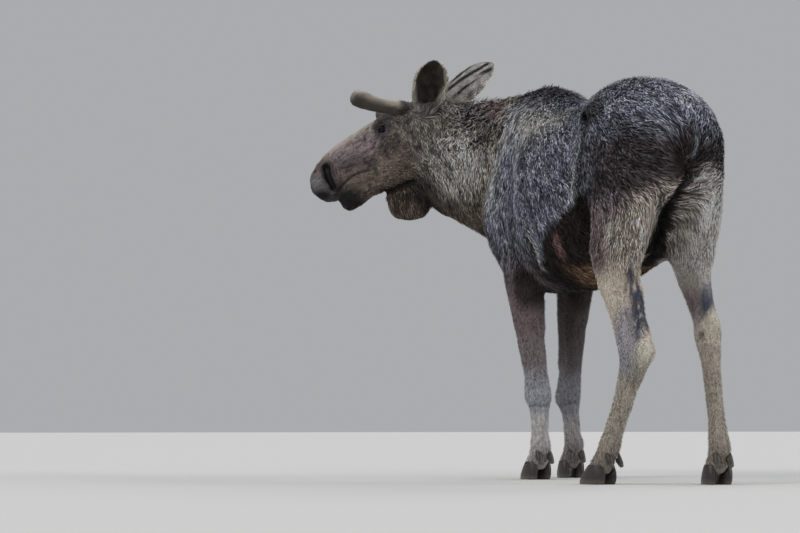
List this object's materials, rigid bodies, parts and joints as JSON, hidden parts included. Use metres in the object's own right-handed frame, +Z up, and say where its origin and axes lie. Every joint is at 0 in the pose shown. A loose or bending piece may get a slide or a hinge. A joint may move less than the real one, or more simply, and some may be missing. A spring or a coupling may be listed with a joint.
{
  "type": "moose",
  "caption": "Life-size standing young bull moose in a shaggy grey-brown coat, head turned to its left, with short velvet antler buds; a still model with no joints.",
  "frame": {"origin": "on the floor, under the middle of the bounding box", "axes": "+Z up, the animal faces -Y, +X to its left"},
  "size_m": [1.1452, 2.4378, 2.0386],
  "materials": {
    "coat": "coarse matt hair, grizzled grey over near-black, paler on the legs",
    "velvet": "short dense matt fur",
    "eye": "wet, glossy, very dark brown",
    "horn": "hard dark horn, slightly polished"
  },
  "bodies": {
    "root": {"antler_left": "velvet", "antler_right": "velvet", "bell": "coat", "dewclaw_fore_left_left": "horn", "dewclaw_fore_left_right": "horn", "dewclaw_fore_right_left": "horn", "dewclaw_fore_right_right": "horn", "dewclaw_hind_left_left": "horn", "dewclaw_hind_left_right": "horn", "dewclaw_hind_right_left": "horn", "dewclaw_hind_right_right": "horn", "ear_left": "coat", "ear_right": "coat", "eye_left": "eye", "eye_right": "eye", "foreleg_left": "coat", "foreleg_right": "coat", "head": "coat", "hindleg_left": "coat", "hindleg_right": "coat", "hoof_fore_left_left": "horn", "hoof_fore_left_right": "horn", "hoof_fore_right_left": "horn", "hoof_fore_right_right": "horn", "hoof_hind_left_left": "horn", "hoof_hind_left_right": "horn", "hoof_hind_right_left": "horn", "hoof_hind_right_right": "horn", "neck": "coat", "tail": "coat", "trunk": "coat"}
  },
  "joints": []
}
